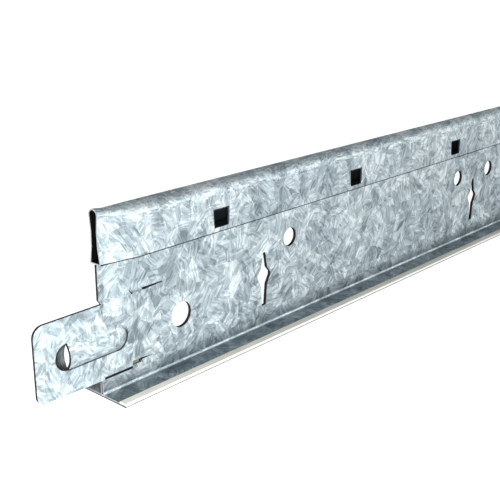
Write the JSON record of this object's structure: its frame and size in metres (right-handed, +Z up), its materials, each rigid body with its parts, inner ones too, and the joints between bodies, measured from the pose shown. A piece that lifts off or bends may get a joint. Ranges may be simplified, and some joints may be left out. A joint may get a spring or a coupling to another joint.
{
  "type": "ceiling grid main tee",
  "caption": "Galvanised steel main tee for a suspended ceiling, with hollow bulb, slotted double web, splice tabs and a painted narrow face.",
  "frame": {"origin": "under the middle of the tee's length, on the underside of its face", "axes": "+X along the tee from the shown end to the far end, +Y to the side away from the shown tab's rib, +Z up"},
  "size_m": [3.6328, 0.015, 0.0403],
  "materials": {
    "galvanised_strip": "hot-dip galvanised with spangle, cut edges dark",
    "painted_capping": "pre-painted white, satin"
  },
  "bodies": {
    "root": {"tee_body": "galvanised_strip", "face_capping": "painted_capping"}
  },
  "joints": []
}
